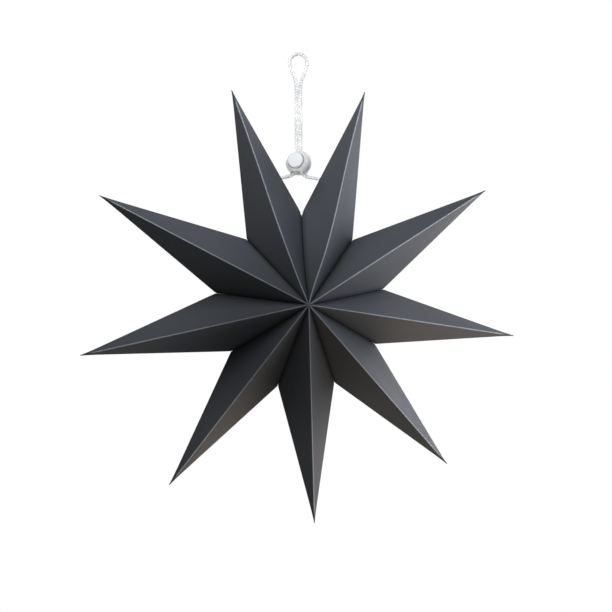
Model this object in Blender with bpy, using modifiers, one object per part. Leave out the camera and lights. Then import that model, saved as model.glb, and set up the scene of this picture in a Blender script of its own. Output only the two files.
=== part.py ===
"""Folded paper star on a hanging cord, closed by a ball cord lock.

Metres, +Z up. The origin is where a hook carries the cord's loop, and the star's front faces -Y.
Nine hollow paper points stand side by side like an opened fan. The cord's two legs pass through
a hole in each end point and are knotted inside, and the ball lock on the doubled cord above
holds the two end points together.
"""

import math

import bmesh
import bpy
import numpy as np
from mathutils import Matrix, Vector

# Star
POINT_COUNT = 9
TIP_RADIUS = 0.150
VALLEY_RADIUS = 0.0586
HALF_DEPTH = 0.030
PAPER = 0.0003
GLUE_GAP = 0.0003
SPINE_SLOT = 0.005
STAR_X = 0.0030
STAR_Z = -0.1690
STAR_ROLL = math.radians(2.0)

# How the hand-made star departs from a regular one, from the closing line round to the left.
# Turns are shares of the pitch, and reaches are shares of the tip or valley radius.
TIP_TURN_SHARES = (-0.087, -0.001, 0.018, 0.030, 0.026, 0.008, -0.010, -0.006, 0.041)
TIP_REACH_SHARES = (1.014, 1.023, 1.012, 1.005, 0.998, 1.003, 1.008, 1.010, 1.013)
WALL_TURN_SHARES = (-0.029, -0.026, 0.013, 0.020, 0.018, 0.003, -0.015, -0.033, 0.005)
VALLEY_REACH_SHARES = (1.060, 1.001, 1.022, 0.998, 0.991, 0.989, 0.978, 0.971, 0.960)

# Cord
CORD_DIAMETER = 0.0025
CORD_CLEARANCE = 0.0005
CORD_STEP = 0.0055
LEFT_HOLE_SHARE = 0.286
RIGHT_HOLE_SHARE = 0.281
HOLE_BACK = 0.0022
STRAND_OFFSET = 0.0014
CORD_ROUTE = [
    (-0.0175, 0.0020, -0.08395),
    (-0.0139, 0.0023, -0.0834),
    (-0.0106, 0.00135, -0.08275),
    (-0.0081, 0.0004, -0.0822),
    (-0.00554, -0.00015, -0.08169),
    (-0.00336, -0.00045, -0.08024),
    (-0.00191, -0.0005, -0.07806),
    (-0.0014, -0.0004, -0.0755),
    (-0.0014, -0.0002, -0.0715),
    (-0.0014, 0.0, -0.0630),
    (-0.0014, 0.0, -0.0500),
    (-0.0014, 0.0, -0.0360),
    (-0.0014, 0.0, -0.02137),
    (-0.00232, 0.0, -0.01596),
    (-0.00397, 0.0, -0.01177),
    (-0.00539, 0.0, -0.00825),
    (-0.00619, 0.0, -0.00507),
    (-0.00542, 0.0, -0.0019),
    (-0.00315, 0.0, 0.00044),
    (0.0, 0.0, 0.0013),
    (0.00315, 0.0, 0.00044),
    (0.00542, 0.0, -0.0019),
    (0.00619, 0.0, -0.00507),
    (0.00539, 0.0, -0.00825),
    (0.00397, 0.0, -0.01177),
    (0.00232, 0.0, -0.01596),
    (0.0014, 0.0, -0.02137),
    (0.0014, 0.0, -0.0360),
    (0.0014, 0.0, -0.0500),
    (0.0014, 0.0, -0.0630),
    (0.0014, -0.0002, -0.0715),
    (0.0014, -0.0004, -0.07615),
    (0.00187, -0.0005, -0.07852),
    (0.00322, -0.0005, -0.08053),
    (0.00523, -0.0004, -0.08188),
    (0.0076, -0.0001, -0.08235),
    (0.0107, 0.0006, -0.0827),
    (0.0137, 0.0016, -0.08305),
    (0.0166, 0.0022, -0.0833),
    (0.0202, 0.0019, -0.0836),
]

# Knots in the cord's two ends
KNOT_DIAMETER = 0.0070
KNOT_LENGTH = 0.0062
KNOT_GAP = 0.0003

# Cord lock
LOCK_Z = -0.0728
LOCK_TURN = math.radians(22.5)
LOCK_TILT = math.radians(7.0)
BALL_RADIUS = 0.00865
BALL_TOP = 0.0076
BALL_BOTTOM = 0.0070
TAPER_TOP = 0.0052
TAPER_RADIUS = 0.0059
PASSAGE_RADIUS = 0.0037
MOUTH_RADIUS = 0.0049
MOUTH_DEPTH = 0.0035
BACK_WALL = 0.0009
HEAD_RADIUS = 0.0052
HEAD_LENGTH = 0.0038
HEAD_EDGE = 0.0009
STEM_RADIUS = 0.0044
STEM_SIDE_WALL = 0.0010
STEM_WEB = 0.0010
BUTTON_FRONT = 0.0094
BUTTON_TRAVEL = 0.0016
RUNNING_GAP = 0.0003
SPRING_WIRE = 0.0003
SPRING_RADIUS = 0.0032
SPRING_TURNS = 2.5

# Mesh density
ROUND_STEPS = 48
BALL_RINGS = 16
DOME_STEPS = 4
SPRING_STEPS = 10
CUT_OVERRUN = 0.002

# A third of a facet, so that no facet edge of a round cut lies on a facet edge of what it cuts
FACET_TWIST = 2 * math.pi / ROUND_STEPS / 3

PITCH = 2 * math.pi / POINT_COUNT
STAR_CENTRE = Vector((STAR_X, 0.0, STAR_Z))


# Scene and object helpers

def new_collection(name):
    collection = bpy.data.collections.new(name)
    bpy.context.scene.collection.children.link(collection)
    return collection


def new_material(name, colour, roughness):
    material = bpy.data.materials.new(name)
    material.use_nodes = True
    shader = material.node_tree.nodes["Principled BSDF"]
    shader.inputs["Base Color"].default_value = (*colour, 1.0)
    shader.inputs["Roughness"].default_value = roughness
    shader.inputs["Metallic"].default_value = 0.0
    return material


def object_from_bmesh(name, mesh_data, collection):
    mesh = bpy.data.meshes.new(name)
    mesh_data.to_mesh(mesh)
    mesh_data.free()
    created = bpy.data.objects.new(name, mesh)
    collection.objects.link(created)
    return created


def make_cutter(created):
    created.hide_render = True
    created.display_type = "WIRE"
    return created


def cut(target, cutter):
    """Subtract cutter from target with a Boolean that stays on the target."""
    boolean = target.modifiers.new("cut " + cutter.name, "BOOLEAN")
    boolean.operation = "DIFFERENCE"
    boolean.solver = "EXACT"
    boolean.object = cutter


def turned_solid(name, profile, steps, collection):
    """A solid turned about its own Z from a (radius, height) profile that runs from top to bottom."""
    mesh = bpy.data.meshes.new(name)
    edges = [(index, index + 1) for index in range(len(profile) - 1)]
    mesh.from_pydata([(radius, 0.0, height) for radius, height in profile], edges, [])
    created = bpy.data.objects.new(name, mesh)
    collection.objects.link(created)
    screw = created.modifiers.new("turn", "SCREW")
    screw.steps = steps
    screw.render_steps = steps
    screw.use_merge_vertices = True
    screw.merge_threshold = 0.00001
    screw.use_smooth_shade = True
    return created


def tube(name, points, diameter, collection, bevel_resolution=2):
    """A round tube with filled ends along a list of points."""
    curve = bpy.data.curves.new(name, "CURVE")
    curve.dimensions = "3D"
    curve.bevel_depth = diameter / 2
    curve.bevel_resolution = bevel_resolution
    curve.use_fill_caps = True
    spline = curve.splines.new("POLY")
    spline.points.add(len(points) - 1)
    for target, point in zip(spline.points, points):
        target.co = (*point, 1.0)
    created = bpy.data.objects.new(name, curve)
    collection.objects.link(created)
    return created


# Paper points

def polar(radius, angle):
    """A place in the star's plane, the angle counted from straight up towards the left."""
    return np.array((-radius * math.sin(angle), 0.0, radius * math.cos(angle)))


def plane_through(corners, inset, inside):
    """The plane through three corners, moved by inset towards the point called inside."""
    normal = np.cross(corners[1] - corners[0], corners[2] - corners[0])
    normal /= np.linalg.norm(normal)
    if np.dot(normal, inside - corners[0]) < 0:
        normal = -normal
    return normal, np.dot(normal, corners[0]) + inset


def meet(*planes):
    """The corner where three planes meet."""
    return np.linalg.solve([normal for normal, _ in planes], [distance for _, distance in planes])


def wall_angle(number):
    """Where the wall between paper points number and number + 1 stands; number 0 is the closing line."""
    turn = WALL_TURN_SHARES[number % POINT_COUNT]
    return STAR_ROLL + (number + turn) * PITCH


def valley(number):
    reach = VALLEY_REACH_SHARES[number % POINT_COUNT]
    return polar(VALLEY_RADIUS * reach, wall_angle(number))


def tip(number):
    turn = TIP_TURN_SHARES[number - 1]
    reach = TIP_REACH_SHARES[number - 1]
    return polar(TIP_RADIUS * reach, STAR_ROLL + (number - 0.5 + turn) * PITCH)


def point_corners(number, wall_inset, facet_inset):
    """Corners of one paper point: front, back, left valley, right valley and tip."""
    front = np.array((0.0, -HALF_DEPTH, 0.0))
    back = np.array((0.0, HALF_DEPTH, 0.0))
    left, right, end = valley(number), valley(number - 1), tip(number)
    inside = (left + right) / 2
    left_wall = plane_through((front, left, back), wall_inset, inside)
    right_wall = plane_through((front, right, back), wall_inset, inside)
    front_left = plane_through((front, left, end), facet_inset, inside)
    front_right = plane_through((front, right, end), facet_inset, inside)
    back_left = plane_through((back, left, end), facet_inset, inside)
    back_right = plane_through((back, right, end), facet_inset, inside)
    return [
        meet(left_wall, right_wall, front_left),
        meet(left_wall, right_wall, back_left),
        meet(left_wall, front_left, back_left),
        meet(right_wall, front_right, back_right),
        meet(front_left, back_left, front_right),
    ]


def folded_solid(name, corners, collection):
    """The closed form that the folds of one paper point stand on."""
    mesh_data = bmesh.new()
    front, back, left, right, tip = [mesh_data.verts.new(corner) for corner in corners]
    for face in (
        (front, left, back), (front, back, right),
        (front, tip, left), (front, right, tip),
        (back, left, tip), (back, tip, right),
    ):
        mesh_data.faces.new(face)
    bmesh.ops.recalc_face_normals(mesh_data, faces=mesh_data.faces)
    created = object_from_bmesh(name, mesh_data, collection)
    created.location = STAR_CENTRE
    return created


def spine_cutter(cutters):
    """A slot along the star's axis, where each point's long edges stay unglued."""
    mesh_data = bmesh.new()
    slot_length = 2 * (HALF_DEPTH - SPINE_SLOT)
    bmesh.ops.create_cone(
        mesh_data, cap_ends=True, segments=2 * POINT_COUNT,
        radius1=SPINE_SLOT / 2, radius2=SPINE_SLOT / 2, depth=slot_length,
    )
    slot = object_from_bmesh("spine_slot", mesh_data, cutters)
    slot.matrix_world = Matrix.Translation(STAR_CENTRE) @ Matrix.Rotation(math.pi / 2, 4, "X")
    return make_cutter(slot)


def hole_cutter(number, wall, share, cutters):
    """A punched hole close behind a closing fold, level with the cord's leg."""
    on_fold = Vector(valley(wall) + share * (tip(number) - valley(wall)))
    centre = STAR_CENTRE + on_fold + Vector((0.0, HOLE_BACK, 0.0))
    mesh_data = bmesh.new()
    hole_radius = CORD_DIAMETER / 2 + CORD_CLEARANCE
    bmesh.ops.create_cone(
        mesh_data, cap_ends=True, segments=ROUND_STEPS // 2,
        radius1=hole_radius, radius2=hole_radius, depth=2 * KNOT_DIAMETER,
    )
    hole = object_from_bmesh("cord_hole_" + str(number), mesh_data, cutters)
    hole.matrix_world = Matrix.Translation(centre) @ Matrix.Rotation(math.pi / 2, 4, "Y")
    return make_cutter(hole)


def paper_points(paper, parts, cutters):
    """The hollow paper points, numbered from the closing line round to the left."""
    gap = GLUE_GAP / 2
    slot = spine_cutter(cutters)
    end_holes = {1: (0, LEFT_HOLE_SHARE), POINT_COUNT: (POINT_COUNT, RIGHT_HOLE_SHARE)}
    for number in range(1, POINT_COUNT + 1):
        name = "point_" + str(number)
        created = folded_solid(name, point_corners(number, gap, 0.0), parts)
        created.data.materials.append(paper)
        hollow = folded_solid(name + "_hollow", point_corners(number, gap + PAPER, PAPER), cutters)
        cut(created, make_cutter(hollow))
        cut(created, slot)
        if number in end_holes:
            cut(created, hole_cutter(number, *end_holes[number], cutters))


# Hanging cord and its knots

def smooth_route(points, step):
    """Places at about one step apart on a smooth curve through the route's own points."""
    route = np.array(points)
    padded = np.vstack([2 * route[0] - route[1], route, 2 * route[-1] - route[-2]])
    places = []
    for before, start, end, after in zip(padded, padded[1:], padded[2:], padded[3:]):
        count = max(1, round(float(np.linalg.norm(end - start)) / step))
        for share in np.arange(count) / count:
            places.append(
                0.5 * (
                    2 * start + (end - before) * share
                    + (2 * before - 5 * start + 4 * end - after) * share ** 2
                    + (3 * start - before - 3 * end + after) * share ** 3
                )
            )
    places.append(route[-1])
    return places


def hanging_cord(white_cord, parts):
    cord = tube("hanging_cord", smooth_route(CORD_ROUTE, CORD_STEP), CORD_DIAMETER, parts)
    cord.data.materials.append(white_cord)
    return cord


def knot(name, end, before_end, white_cord, parts):
    """A stopper knot, a short barrel in line with the cord's end."""
    direction = (Vector(end) - Vector(before_end)).normalized()
    half_length = KNOT_LENGTH / 2
    profile = [(0.0, half_length)]
    for index in range(DOME_STEPS * 2 + 1):
        angle = math.pi * (index + 0.5) / (DOME_STEPS * 2 + 1)
        profile.append((KNOT_DIAMETER / 2 * math.sin(angle) ** 0.5, half_length * math.cos(angle)))
    profile.append((0.0, -half_length))
    created = turned_solid(name, profile, ROUND_STEPS // 2, parts)
    created.data.materials.append(white_cord)
    created.location = Vector(end) + direction * (KNOT_GAP + half_length)
    created.rotation_mode = "QUATERNION"
    created.rotation_quaternion = direction.to_track_quat("Z", "Y")
    return created


# Ball cord lock

def lock_place():
    """Where the lock stands on the cord: its own -Y points out of the button, +Z up the cord."""
    return (
        Matrix.Translation((0.0, 0.0, LOCK_Z))
        @ Matrix.Rotation(-LOCK_TURN, 4, "Z")
        @ Matrix.Rotation(-LOCK_TILT, 4, "X")
    )


def along_bore(front):
    """A turned solid's own Z laid along the button's bore, from the place called front inwards."""
    return lock_place() @ Matrix.Translation((0.0, front, 0.0)) @ Matrix.Rotation(math.pi / 2, 4, "X")


def ball_profile():
    """Half outline of the ball, cut flat at top and bottom and tapered straight near the bottom."""
    top = math.asin(BALL_TOP / BALL_RADIUS)
    bottom = -math.asin(TAPER_TOP / BALL_RADIUS)
    angles = [top + (bottom - top) * index / BALL_RINGS for index in range(BALL_RINGS + 1)]
    arc = [(BALL_RADIUS * math.cos(angle), BALL_RADIUS * math.sin(angle)) for angle in angles]
    return [(0.0, BALL_TOP), *arc, (TAPER_RADIUS, -BALL_BOTTOM), (0.0, -BALL_BOTTOM)]


def passage_profile():
    """Half outline of the cord's way through the ball, with its flared mouth below."""
    slope = (MOUTH_RADIUS - PASSAGE_RADIUS) / MOUTH_DEPTH
    return [
        (0.0, BALL_TOP + CUT_OVERRUN),
        (PASSAGE_RADIUS, BALL_TOP + CUT_OVERRUN),
        (PASSAGE_RADIUS, -BALL_BOTTOM + MOUTH_DEPTH),
        (MOUTH_RADIUS + slope * CUT_OVERRUN, -BALL_BOTTOM - CUT_OVERRUN),
        (0.0, -BALL_BOTTOM - CUT_OVERRUN),
    ]


def bore_end():
    """Depth of the bore behind the lock's middle, with the back wall left at its corner."""
    inner_radius = BALL_RADIUS - BACK_WALL
    return math.sqrt(inner_radius ** 2 - (STEM_RADIUS + RUNNING_GAP) ** 2)


def bore_shoulder():
    """Where the bore narrows from the button's head to its stem, in front of the lock's middle."""
    return BUTTON_FRONT - HEAD_LENGTH - BUTTON_TRAVEL - RUNNING_GAP


def cord_reach():
    """How far the two leaning strands and their clearance reach along the button's bore."""
    turned = STRAND_OFFSET * math.sin(LOCK_TURN)
    leaning = STEM_RADIUS * math.tan(LOCK_TILT)
    return CORD_DIAMETER / 2 + turned + leaning + RUNNING_GAP


def button_rear():
    return cord_reach() + STEM_WEB


def lock_body(white_plastic, parts, cutters):
    ball = turned_solid("lock_body", ball_profile(), ROUND_STEPS, parts)
    ball.data.materials.append(white_plastic)
    ball.matrix_world = lock_place()
    passage = make_cutter(turned_solid("cord_passage", passage_profile(), ROUND_STEPS, cutters))
    passage.matrix_world = lock_place() @ Matrix.Rotation(FACET_TWIST, 4, "Z")
    cut(ball, passage)

    front = -BALL_RADIUS - CUT_OVERRUN
    shoulder = front + bore_shoulder()
    end = front - bore_end()
    profile = [
        (0.0, 0.0),
        (HEAD_RADIUS + RUNNING_GAP, 0.0),
        (HEAD_RADIUS + RUNNING_GAP, shoulder),
        (STEM_RADIUS + RUNNING_GAP, shoulder),
        (STEM_RADIUS + RUNNING_GAP, end),
        (0.0, end),
    ]
    bore = make_cutter(turned_solid("button_bore", profile, ROUND_STEPS, cutters))
    bore.matrix_world = along_bore(front) @ Matrix.Rotation(FACET_TWIST, 4, "Z")
    cut(ball, bore)
    return ball


def lock_button(white_plastic, parts, cutters):
    """The push button: a domed head, and a stem with an oblong window for the two strands."""
    profile = [(0.0, 0.0)]
    for index in range(DOME_STEPS + 1):
        angle = math.pi / 2 * index / DOME_STEPS
        radius = HEAD_RADIUS - HEAD_EDGE + HEAD_EDGE * math.sin(angle)
        profile.append((radius, -HEAD_EDGE * (1 - math.cos(angle))))
    length = BUTTON_FRONT + button_rear()
    profile += [
        (HEAD_RADIUS, -HEAD_LENGTH),
        (STEM_RADIUS, -HEAD_LENGTH),
        (STEM_RADIUS, -length),
        (0.0, -length),
    ]
    button = turned_solid("lock_button", profile, ROUND_STEPS, parts)
    button.data.materials.append(white_plastic)
    button.matrix_world = along_bore(-BUTTON_FRONT)

    window_width = 2 * (STEM_RADIUS - STEM_SIDE_WALL)
    window_length = 2 * cord_reach() + BUTTON_TRAVEL
    window_height = 2 * (STEM_RADIUS + CUT_OVERRUN)
    mesh_data = bmesh.new()
    bmesh.ops.create_cube(mesh_data, size=1.0)
    bmesh.ops.scale(mesh_data, vec=(window_width, window_length, window_height), verts=mesh_data.verts)
    window = make_cutter(object_from_bmesh("button_window", mesh_data, cutters))
    window.matrix_world = lock_place() @ Matrix.Translation((0.0, -BUTTON_TRAVEL / 2, 0.0))
    cut(button, window)
    return button


def lock_spring(spring_steel, parts):
    """The coil spring that pushes the button out, between it and the end of the bore."""
    start = button_rear() + RUNNING_GAP + SPRING_WIRE / 2
    end = bore_end() - RUNNING_GAP - SPRING_WIRE / 2
    count = round(SPRING_TURNS * SPRING_STEPS)
    points = []
    for index in range(count + 1):
        share = index / count
        angle = 2 * math.pi * SPRING_TURNS * share
        points.append((
            SPRING_RADIUS * math.cos(angle),
            start + (end - start) * share,
            SPRING_RADIUS * math.sin(angle),
        ))
    spring = tube("lock_spring", points, SPRING_WIRE, parts, bevel_resolution=1)
    spring.data.materials.append(spring_steel)
    spring.matrix_world = lock_place()
    turn_rise = (end - start) / SPRING_TURNS
    print("lock_spring least gap between turns, mm:", round((turn_rise - SPRING_WIRE) * 1000, 2))
    return spring


def main():
    for leftover in list(bpy.data.objects):
        bpy.data.objects.remove(leftover, do_unlink=True)
    parts = new_collection("paper_star_lantern")
    cutters = new_collection("cutters")

    charcoal_paper = new_material("charcoal_paper", (0.075, 0.078, 0.085), 0.85)
    white_cord = new_material("white_cord", (0.86, 0.87, 0.88), 0.80)
    white_plastic = new_material("white_plastic", (0.85, 0.87, 0.90), 0.35)
    spring_steel = new_material("spring_steel", (0.55, 0.56, 0.58), 0.30)
    spring_steel.node_tree.nodes["Principled BSDF"].inputs["Metallic"].default_value = 1.0

    paper_points(charcoal_paper, parts, cutters)
    hanging_cord(white_cord, parts)
    knot("knot_left", CORD_ROUTE[0], CORD_ROUTE[1], white_cord, parts)
    knot("knot_right", CORD_ROUTE[-1], CORD_ROUTE[-2], white_cord, parts)
    lock_body(white_plastic, parts, cutters)
    lock_button(white_plastic, parts, cutters)
    lock_spring(spring_steel, parts)


main()
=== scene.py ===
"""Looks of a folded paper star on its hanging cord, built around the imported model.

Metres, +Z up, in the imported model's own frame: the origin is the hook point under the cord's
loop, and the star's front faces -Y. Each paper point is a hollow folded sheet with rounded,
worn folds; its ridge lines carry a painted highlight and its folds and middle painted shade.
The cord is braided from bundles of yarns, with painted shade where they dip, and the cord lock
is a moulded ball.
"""

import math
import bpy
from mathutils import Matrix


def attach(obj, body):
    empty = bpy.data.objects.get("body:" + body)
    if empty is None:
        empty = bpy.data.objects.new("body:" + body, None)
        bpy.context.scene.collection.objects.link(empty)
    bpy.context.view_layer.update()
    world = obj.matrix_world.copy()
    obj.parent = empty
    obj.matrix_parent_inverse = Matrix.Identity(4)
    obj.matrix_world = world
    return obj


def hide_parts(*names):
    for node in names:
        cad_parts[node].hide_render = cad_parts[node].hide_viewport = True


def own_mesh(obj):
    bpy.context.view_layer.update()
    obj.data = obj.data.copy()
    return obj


bl_info = {
    "name": "Folded Paper Star",
    "version": (1, 0, 0),
    "blender": (4, 5, 0),
    "location": "View3D > Sidebar > Paper Star",
    "description": "Builds a folded paper star with its braided cord and ball cord lock",
    "category": "Add Mesh",
}

import bmesh
import bpy
import numpy as np
from bpy.props import FloatProperty, FloatVectorProperty, IntProperty, PointerProperty
from bpy.types import Operator, Panel, PropertyGroup
from mathutils import Matrix, Vector

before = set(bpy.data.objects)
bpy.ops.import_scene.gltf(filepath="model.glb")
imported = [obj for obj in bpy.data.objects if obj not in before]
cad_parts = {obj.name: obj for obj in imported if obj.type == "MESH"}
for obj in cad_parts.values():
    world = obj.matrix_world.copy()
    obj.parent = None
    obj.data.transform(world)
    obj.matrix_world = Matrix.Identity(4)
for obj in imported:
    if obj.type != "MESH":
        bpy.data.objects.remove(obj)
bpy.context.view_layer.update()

# The star's form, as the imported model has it, but with its glued walls drawn closer together
POINT_COUNT = 9
PITCH = 2 * math.pi / POINT_COUNT
STAR_CENTRE = Vector((0.0030, 0.0, -0.1690))
STAR_ROLL = math.radians(2.0)
GLUE_GAP = 0.00004
TIP_TURN_SHARES = (-0.087, -0.001, 0.018, 0.030, 0.026, 0.008, -0.010, -0.006, 0.041)
TIP_REACH_SHARES = (1.014, 1.023, 1.012, 1.005, 0.998, 1.003, 1.008, 1.010, 1.013)
WALL_TURN_SHARES = (-0.029, -0.026, 0.013, 0.020, 0.018, 0.003, -0.015, -0.033, 0.005)
VALLEY_REACH_SHARES = (1.060, 1.001, 1.022, 0.998, 0.991, 0.989, 0.978, 0.971, 0.960)
LEFT_HOLE_SHARE = 0.286
RIGHT_HOLE_SHARE = 0.281
HOLE_BACK = 0.0022
HOLE_CLEARANCE = 0.0005
HOLE_CUT_LENGTH = 0.012

# Distances for the shade painted into the paper's colour: round the front and back apex, and round
# the place in the star's plane that the light reaches least
APEX_REACH = 0.0030
PAINTED_SHADE_PLACE = (-0.013, 0.0, -0.022)

# The cord's route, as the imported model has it
CORD_ROUTE = [
    (-0.0175, 0.0020, -0.08395),
    (-0.0139, 0.0023, -0.0834),
    (-0.0106, 0.00135, -0.08275),
    (-0.0081, 0.0004, -0.0822),
    (-0.00554, -0.00015, -0.08169),
    (-0.00336, -0.00045, -0.08024),
    (-0.00191, -0.0005, -0.07806),
    (-0.0014, -0.0004, -0.0755),
    (-0.0014, -0.0002, -0.0715),
    (-0.0014, 0.0, -0.0630),
    (-0.0014, 0.0, -0.0500),
    (-0.0014, 0.0, -0.0360),
    (-0.0014, 0.0, -0.02137),
    (-0.00232, 0.0, -0.01596),
    (-0.00397, 0.0, -0.01177),
    (-0.00539, 0.0, -0.00825),
    (-0.00619, 0.0, -0.00507),
    (-0.00542, 0.0, -0.0019),
    (-0.00315, 0.0, 0.00044),
    (0.0, 0.0, 0.0013),
    (0.00315, 0.0, 0.00044),
    (0.00542, 0.0, -0.0019),
    (0.00619, 0.0, -0.00507),
    (0.00539, 0.0, -0.00825),
    (0.00397, 0.0, -0.01177),
    (0.00232, 0.0, -0.01596),
    (0.0014, 0.0, -0.02137),
    (0.0014, 0.0, -0.0360),
    (0.0014, 0.0, -0.0500),
    (0.0014, 0.0, -0.0630),
    (0.0014, -0.0002, -0.0715),
    (0.0014, -0.0004, -0.07615),
    (0.00187, -0.0005, -0.07852),
    (0.00322, -0.0005, -0.08053),
    (0.00523, -0.0004, -0.08188),
    (0.0076, -0.0001, -0.08235),
    (0.0107, 0.0006, -0.0827),
    (0.0137, 0.0016, -0.08305),
    (0.0166, 0.0022, -0.0833),
    (0.0202, 0.0019, -0.0836),
]

# The cord lock's place and working sizes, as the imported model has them
STRAND_OFFSET = 0.0014
LOCK_Z = -0.0728
LOCK_TURN = math.radians(22.5)
LOCK_TILT = math.radians(7.0)
BALL_RADIUS = 0.00865
BALL_TOP = 0.0076
BALL_BOTTOM = 0.0070
TAPER_TOP = 0.0052
TAPER_RADIUS = 0.0059
PASSAGE_RADIUS = 0.0037
MOUTH_RADIUS = 0.0049
MOUTH_DEPTH = 0.0035
BACK_WALL = 0.0009
HEAD_RADIUS = 0.0052
HEAD_LENGTH = 0.0038
STEM_RADIUS = 0.0044
STEM_SIDE_WALL = 0.0010
STEM_WEB = 0.0010
BUTTON_FRONT = 0.0094
BUTTON_TRAVEL = 0.0016
RUNNING_GAP = 0.0003
SPRING_WIRE = 0.0003
SPRING_RADIUS = 0.0032
SPRING_TURNS = 2.5
CUT_OVERRUN = 0.002

# Soft lamps round the star: distance, degrees to the right of its front, degrees up, colour.
# At colour 1 a surface that faces the lamp renders at its own colour. The dark paper and the
# white cord and lock each have lamps of their own and share the back ones. The floor has one of
# its own too, so that it is pale and throws some light up.
PAPER_LAMPS = (
    (0.45, -50, 60, (0.413, 0.424, 0.465)),
    (0.45, 25, 60, (0.279, 0.307, 0.362)),
    (0.45, 80, 12, (0.119, 0.143, 0.154)),
    (0.45, 80, -12, (0.265, 0.284, 0.357)),
    (0.45, 100, 12, (0.736, 0.751, 0.827)),
    (0.45, 100, -12, (0.639, 0.585, 0.541)),
    (0.45, 100, -60, (0.573, 0.452, 0.318)),
    (0.45, 120, 35, (0.205, 0.158, 0.137)),
    (1.20, 180, 25, (0.170, 0.170, 0.175)),
)
WHITE_LAMPS = (
    (1.20, 0, 52, (0.64, 0.665, 0.70)),
    (1.20, 10, -30, (0.20, 0.195, 0.19)),
    (1.20, -60, -15, (0.45, 0.455, 0.465)),
    (1.20, 85, 15, (0.21, 0.215, 0.220)),
)
CORD_LAMPS = (
    (1.20, -5, 5, (0.40, 0.40, 0.395)),
)
BACK_LAMPS = (
    (1.20, 180, 25, (0.480, 0.490, 0.505)),
    (1.20, -165, -15, (0.300, 0.290, 0.280)),
)
FLOOR_LAMPS = (
    (1.20, 0, 70, (1.1, 1.1, 1.1)),
)
LAMPS = {
    "paper": PAPER_LAMPS, "white": WHITE_LAMPS, "cord": CORD_LAMPS, "floor": FLOOR_LAMPS,
    "": BACK_LAMPS,
}
LAMP_SIZE = 0.4386
LAMP_SIZE_POWER = 0.7
LAMP_POWER = 10.0

SIDEBAR_TAB = "Paper Star"


# Settings that a user would change

def length_setting(name, description, default):
    return FloatProperty(name=name, description=description, default=default, unit="LENGTH")


def colour_setting(name, description, default):
    return FloatVectorProperty(
        name=name, description=description, default=default, subtype="COLOR")


class PaperSettings(PropertyGroup):
    tip_radius: length_setting("Tip radius", "From the star's middle to its tips", 0.150)
    valley_radius: length_setting("Valley radius", "From the star's middle to its valleys", 0.0586)
    half_depth: length_setting("Half depth", "From the star's middle to its front or back", 0.030)
    thickness: length_setting("Paper", "Thickness of the paper", 0.0003)
    fold_band: length_setting("Fold", "Width of the rounding at each side of a fold", 0.0007)
    fold_drop: length_setting(
        "Fold rounding", "How far a fold's rounding takes its edge in", 0.00016)
    warp: length_setting("Warp", "How far a facet's middle bellies out of flat", 0.0005)
    tip_bluntness: length_setting(
        "Tip bluntness", "How far before its end a tip stops getting thinner", 0.0030)
    tip_rounding: length_setting("Tip rounding", "Length over which a tip's end is rounded", 0.0030)
    left_ridge_bow: length_setting(
        "Left ridge bow", "How far the ridge left of the opening bows out", 0.00115)
    right_ridge_bow: length_setting(
        "Right ridge bow", "How far the ridge right of the opening bows out", 0.0020)
    closing_reach: length_setting(
        "Closing corner", "Size of the bent corner at each side of the opening", 0.0013)
    closing_gap: length_setting(
        "Closing gap", "How far each corner bends away from the other", 0.00045)
    closing_bow: length_setting("Closing bow", "How far the closing line bows to the left", 0.0009)
    bow_reach: length_setting(
        "Bow reach", "How far from the closing line the paper follows its bow", 0.014)
    rows: IntProperty(
        name="Rows", description="Mesh rows along a point", default=30, min=8)
    columns: IntProperty(
        name="Columns", description="Mesh columns across a facet", default=8, min=4)
    colour: colour_setting("Paper colour", "Colour of the paper", (0.087, 0.090, 0.0945))
    # The ridge line's colour: partly real wear, partly a painted highlight
    fold_wear_and_highlight_colour: colour_setting("Fold colour", "Colour where a fold is rubbed", (0.50, 0.51, 0.53))


class CordSettings(PropertyGroup):
    diameter: length_setting("Diameter", "Diameter of the cord", 0.0025)
    yarn_radius: length_setting("Yarn radius", "Radius of one yarn", 0.00023)
    wave: length_setting("Over and under", "How far a yarn rises and dips at a crossing", 0.00011)
    lay: length_setting("Lay", "Length in which a yarn goes once round", 0.0112)
    yarn_pairs: IntProperty(
        name="Yarn pairs", description="Bundles of yarns that turn each way", default=3, min=2)
    step: length_setting("Step", "Distance between points along a yarn", 0.00048)
    colour: colour_setting("Cord colour", "Colour of the yarns", (0.88, 0.885, 0.89))


class LockSettings(PropertyGroup):
    rim: length_setting("Rim rounding", "Radius of the ball's rims", 0.0006)
    head_edge: length_setting("Button edge", "Radius of the button's edge", 0.0009)
    head_dome: length_setting("Button dome", "How far the button's face bulges", 0.0005)
    steps: IntProperty(
        name="Steps", description="Facets round a turned piece", default=96, min=24)
    colour: colour_setting("Plastic colour", "Colour of the plastic", (0.84, 0.845, 0.85))


class StageSettings(PropertyGroup):
    camera_distance: length_setting("Camera distance", "From the camera to the star", 0.60)
    camera_turn: FloatProperty(
        name="Camera turn", description="How far the camera stands to the left",
        default=math.radians(7.6), unit="ROTATION")
    camera_rise: FloatProperty(
        name="Camera rise", description="Elevation of the camera",
        default=math.radians(0.6), unit="ROTATION")
    frame_width: length_setting("Frame width", "Width of the view at the star", 0.4172)
    aim_right: length_setting("Aim right", "How far right of the star the camera aims", 0.0021)
    aim_down: length_setting("Aim down", "How far below the star's middle the camera aims", 0.0010)
    floor_drop: length_setting("Floor drop", "From the hook down to the floor", 0.80)
    floor_radius: length_setting("Floor radius", "Radius of the floor", 0.70)


# Node trees

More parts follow.
